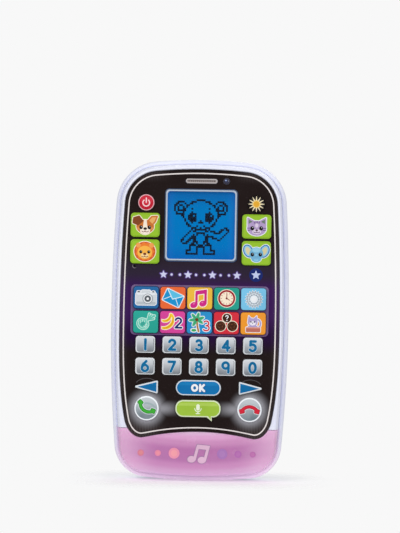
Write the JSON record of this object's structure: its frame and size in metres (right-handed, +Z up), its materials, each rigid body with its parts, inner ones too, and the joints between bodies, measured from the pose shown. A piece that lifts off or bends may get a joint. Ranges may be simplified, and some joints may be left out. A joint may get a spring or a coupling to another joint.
{
  "type": "toy mobile phone",
  "caption": "Toy mobile phone that stands upright: rounded two-part shell, glowing chin, dark faceplate with sprung keys and a small screen, battery door at the back.",
  "frame": {"origin": "on the floor plane under the middle of the phone: centre of the bounding box's bottom face", "axes": "+X to the right as seen facing the keys, +Y from the key face to the battery door at the back, +Z up along the phone's length"},
  "size_m": [0.095, 0.03, 0.1712],
  "materials": {
    "lavender_plastic": "semi-gloss",
    "pink_plastic": "translucent gloss",
    "black_plastic": "gloss",
    "silver_plastic": "gloss",
    "dark_lens": "gloss",
    "clear_window": "gloss",
    "screen_blue": "gloss",
    "clear_plastic": "satin",
    "silicone": "matte",
    "circuit_board": "satin",
    "speaker_black": "matte",
    "battery_jacket": "gloss",
    "plated_steel": "satin",
    "screw_steel": "satin",
    "wire_red": "satin",
    "green_plastic": "gloss",
    "tile_plastic": "gloss",
    "red_plastic": "gloss",
    "amber_plastic": "gloss",
    "blue_plastic": "gloss"
  },
  "bodies": {
    "handset": {"front_shell": "lavender_plastic", "rear_shell": "lavender_plastic", "light_chin": "pink_plastic", "faceplate": "black_plastic", "lcd_frame": "silver_plastic", "lcd_window": "clear_window", "lcd_panel": "screen_blue", "lcd_backlight": "clear_plastic", "earpiece_grille": "silver_plastic", "camera_lens": "dark_lens", "keypad_membrane": "silicone", "main_board": "circuit_board", "chin_light_board": "circuit_board", "speaker": "speaker_black", "battery_left": "battery_jacket", "battery_right": "battery_jacket", "battery_link_contact": "plated_steel", "battery_positive_contact": "plated_steel", "battery_negative_contact": "plated_steel", "housing_screw_top_left": "screw_steel", "housing_screw_top_right": "screw_steel", "housing_screw_bottom_left": "screw_steel", "housing_screw_bottom_right": "screw_steel", "speaker_lead": "wire_red", "battery_lead": "wire_red", "light_lead": "wire_red"},
    "battery_door": {"battery_cover": "lavender_plastic"},
    "door_screw": {"battery_cover_screw": "screw_steel"},
    "power_button": {"power_key": "red_plastic"},
    "sun_button": {"sun_key": "amber_plastic"},
    "left_arrow_button": {"left_arrow_key": "black_plastic"},
    "right_arrow_button": {"right_arrow_key": "black_plastic"},
    "ok_button": {"ok_key": "blue_plastic"},
    "speech_button": {"speech_key": "green_plastic"},
    "call_button": {"call_key": "silver_plastic"},
    "hang_up_button": {"hang_up_key": "silver_plastic"},
    "dog_button": {"dog_key": "green_plastic"},
    "lion_button": {"lion_key": "green_plastic"},
    "cat_button": {"cat_key": "green_plastic"},
    "elephant_button": {"elephant_key": "green_plastic"},
    "camera_button": {"camera_key": "tile_plastic"},
    "mail_button": {"mail_key": "tile_plastic"},
    "music_button": {"music_key": "tile_plastic"},
    "clock_button": {"clock_key": "tile_plastic"},
    "settings_button": {"settings_key": "tile_plastic"},
    "pineapple_button": {"pineapple_key": "tile_plastic"},
    "banana_button": {"banana_key": "tile_plastic"},
    "palm_button": {"palm_key": "tile_plastic"},
    "coconut_button": {"coconut_key": "tile_plastic"},
    "toy_box_button": {"toy_box_key": "tile_plastic"},
    "digit_1_button": {"digit_1_key": "silver_plastic"},
    "digit_2_button": {"digit_2_key": "silver_plastic"},
    "digit_3_button": {"digit_3_key": "silver_plastic"},
    "digit_4_button": {"digit_4_key": "silver_plastic"},
    "digit_5_button": {"digit_5_key": "silver_plastic"},
    "digit_6_button": {"digit_6_key": "silver_plastic"},
    "digit_7_button": {"digit_7_key": "silver_plastic"},
    "digit_8_button": {"digit_8_key": "silver_plastic"},
    "digit_9_button": {"digit_9_key": "silver_plastic"},
    "digit_0_button": {"digit_0_key": "silver_plastic"}
  },
  "joints": [
    {"name": "power_press", "type": "slide", "parent": "handset", "child": "power_button", "axis": [0, 1, 0], "range_m": [0, 0.0008], "stiffness_N_per_m": 300, "springref_m": -0.0005},
    {"name": "sun_press", "type": "slide", "parent": "handset", "child": "sun_button", "axis": [0, 1, 0], "range_m": [0, 0.0008], "stiffness_N_per_m": 300, "springref_m": -0.0005},
    {"name": "left_arrow_press", "type": "slide", "parent": "handset", "child": "left_arrow_button", "axis": [0, 1, 0], "range_m": [0, 0.0008], "stiffness_N_per_m": 300, "springref_m": -0.0005},
    {"name": "right_arrow_press", "type": "slide", "parent": "handset", "child": "right_arrow_button", "axis": [0, 1, 0], "range_m": [0, 0.0008], "stiffness_N_per_m": 300, "springref_m": -0.0005},
    {"name": "ok_press", "type": "slide", "parent": "handset", "child": "ok_button", "axis": [0, 1, 0], "range_m": [0, 0.0008], "stiffness_N_per_m": 300, "springref_m": -0.0005},
    {"name": "speech_press", "type": "slide", "parent": "handset", "child": "speech_button", "axis": [0, 1, 0], "range_m": [0, 0.0008], "stiffness_N_per_m": 300, "springref_m": -0.0005},
    {"name": "call_press", "type": "slide", "parent": "handset", "child": "call_button", "axis": [0, 1, 0], "range_m": [0, 0.0008], "stiffness_N_per_m": 300, "springref_m": -0.0005},
    {"name": "hang_up_press", "type": "slide", "parent": "handset", "child": "hang_up_button", "axis": [0, 1, 0], "range_m": [0, 0.0008], "stiffness_N_per_m": 300, "springref_m": -0.0005},
    {"name": "dog_press", "type": "slide", "parent": "handset", "child": "dog_button", "axis": [0, 1, 0], "range_m": [0, 0.0008], "stiffness_N_per_m": 300, "springref_m": -0.0005},
    {"name": "lion_press", "type": "slide", "parent": "handset", "child": "lion_button", "axis": [0, 1, 0], "range_m": [0, 0.0008], "stiffness_N_per_m": 300, "springref_m": -0.0005},
    {"name": "cat_press", "type": "slide", "parent": "handset", "child": "cat_button", "axis": [0, 1, 0], "range_m": [0, 0.0008], "stiffness_N_per_m": 300, "springref_m": -0.0005},
    {"name": "elephant_press", "type": "slide", "parent": "handset", "child": "elephant_button", "axis": [0, 1, 0], "range_m": [0, 0.0008], "stiffness_N_per_m": 300, "springref_m": -0.0005},
    {"name": "camera_press", "type": "slide", "parent": "handset", "child": "camera_button", "axis": [0, 1, 0], "range_m": [0, 0.0008], "stiffness_N_per_m": 300, "springref_m": -0.0005},
    {"name": "mail_press", "type": "slide", "parent": "handset", "child": "mail_button", "axis": [0, 1, 0], "range_m": [0, 0.0008], "stiffness_N_per_m": 300, "springref_m": -0.0005},
    {"name": "music_press", "type": "slide", "parent": "handset", "child": "music_button", "axis": [0, 1, 0], "range_m": [0, 0.0008], "stiffness_N_per_m": 300, "springref_m": -0.0005},
    {"name": "clock_press", "type": "slide", "parent": "handset", "child": "clock_button", "axis": [0, 1, 0], "range_m": [0, 0.0008], "stiffness_N_per_m": 300, "springref_m": -0.0005},
    {"name": "settings_press", "type": "slide", "parent": "handset", "child": "settings_button", "axis": [0, 1, 0], "range_m": [0, 0.0008], "stiffness_N_per_m": 300, "springref_m": -0.0005},
    {"name": "pineapple_press", "type": "slide", "parent": "handset", "child": "pineapple_button", "axis": [0, 1, 0], "range_m": [0, 0.0008], "stiffness_N_per_m": 300, "springref_m": -0.0005},
    {"name": "banana_press", "type": "slide", "parent": "handset", "child": "banana_button", "axis": [0, 1, 0], "range_m": [0, 0.0008], "stiffness_N_per_m": 300, "springref_m": -0.0005},
    {"name": "palm_press", "type": "slide", "parent": "handset", "child": "palm_button", "axis": [0, 1, 0], "range_m": [0, 0.0008], "stiffness_N_per_m": 300, "springref_m": -0.0005},
    {"name": "coconut_press", "type": "slide", "parent": "handset", "child": "coconut_button", "axis": [0, 1, 0], "range_m": [0, 0.0008], "stiffness_N_per_m": 300, "springref_m": -0.0005},
    {"name": "toy_box_press", "type": "slide", "parent": "handset", "child": "toy_box_button", "axis": [0, 1, 0], "range_m": [0, 0.0008], "stiffness_N_per_m": 300, "springref_m": -0.0005},
    {"name": "digit_1_press", "type": "slide", "parent": "handset", "child": "digit_1_button", "axis": [0, 1, 0], "range_m": [0, 0.0008], "stiffness_N_per_m": 300, "springref_m": -0.0005},
    {"name": "digit_2_press", "type": "slide", "parent": "handset", "child": "digit_2_button", "axis": [0, 1, 0], "range_m": [0, 0.0008], "stiffness_N_per_m": 300, "springref_m": -0.0005},
    {"name": "digit_3_press", "type": "slide", "parent": "handset", "child": "digit_3_button", "axis": [0, 1, 0], "range_m": [0, 0.0008], "stiffness_N_per_m": 300, "springref_m": -0.0005},
    {"name": "digit_4_press", "type": "slide", "parent": "handset", "child": "digit_4_button", "axis": [0, 1, 0], "range_m": [0, 0.0008], "stiffness_N_per_m": 300, "springref_m": -0.0005},
    {"name": "digit_5_press", "type": "slide", "parent": "handset", "child": "digit_5_button", "axis": [0, 1, 0], "range_m": [0, 0.0008], "stiffness_N_per_m": 300, "springref_m": -0.0005},
    {"name": "digit_6_press", "type": "slide", "parent": "handset", "child": "digit_6_button", "axis": [0, 1, 0], "range_m": [0, 0.0008], "stiffness_N_per_m": 300, "springref_m": -0.0005},
    {"name": "digit_7_press", "type": "slide", "parent": "handset", "child": "digit_7_button", "axis": [0, 1, 0], "range_m": [0, 0.0008], "stiffness_N_per_m": 300, "springref_m": -0.0005},
    {"name": "digit_8_press", "type": "slide", "parent": "handset", "child": "digit_8_button", "axis": [0, 1, 0], "range_m": [0, 0.0008], "stiffness_N_per_m": 300, "springref_m": -0.0005},
    {"name": "digit_9_press", "type": "slide", "parent": "handset", "child": "digit_9_button", "axis": [0, 1, 0], "range_m": [0, 0.0008], "stiffness_N_per_m": 300, "springref_m": -0.0005},
    {"name": "digit_0_press", "type": "slide", "parent": "handset", "child": "digit_0_button", "axis": [0, 1, 0], "range_m": [0, 0.0008], "stiffness_N_per_m": 300, "springref_m": -0.0005},
    {"name": "battery_door_open", "type": "hinge", "parent": "handset", "child": "battery_door", "pos_m": [0, 0.015, 0.0296], "axis": [-1, 0, 0], "range_deg": [0, 40]},
    {"name": "door_screw_turn", "type": "hinge", "parent": "battery_door", "child": "door_screw", "pos_m": [0, 0.0145, 0.0903], "axis": [0, 1, 0], "range_deg": [0, 360]}
  ]
}
